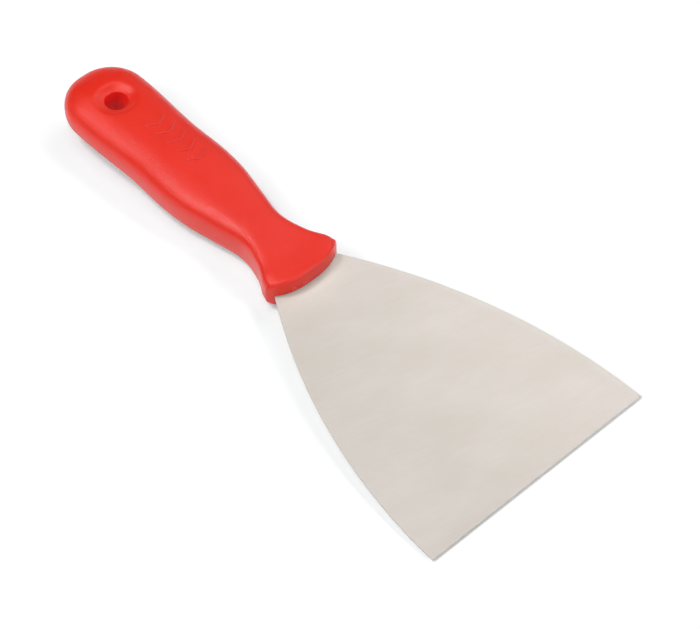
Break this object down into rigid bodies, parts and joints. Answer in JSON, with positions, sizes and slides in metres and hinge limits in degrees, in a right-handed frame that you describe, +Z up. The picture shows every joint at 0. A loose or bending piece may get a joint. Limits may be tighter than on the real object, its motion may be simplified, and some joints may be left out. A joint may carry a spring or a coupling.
{
  "type": "putty knife",
  "caption": "Flexible putty knife: thin spring-steel blade moulded into a red plastic handle with a dished hang hole.",
  "frame": {"origin": "middle of the knife's overall length, on its centre line, in the blade's middle plane", "axes": "+X along the knife from the handle to the blade's tip, +Z up out of the blade's face, +Y across the blade"},
  "size_m": [0.2459, 0.1, 0.018],
  "materials": {
    "handle_plastic": "orange-red polypropylene, fine moulded grain with a soft sheen",
    "blade_steel": "satin ground spring steel, faint cloudy mottling"
  },
  "bodies": {
    "handle": {"handle": "handle_plastic"},
    "blade": {"blade": "blade_steel"}
  },
  "joints": [
    {"name": "blade_flex", "type": "hinge", "parent": "handle", "child": "blade", "pos_m": [0.0302, 0, 0], "axis": [0, 1, 0], "range_deg": [-35, 35], "stiffness_Nm_per_rad": 2, "deforming": ["blade"]}
  ]
}
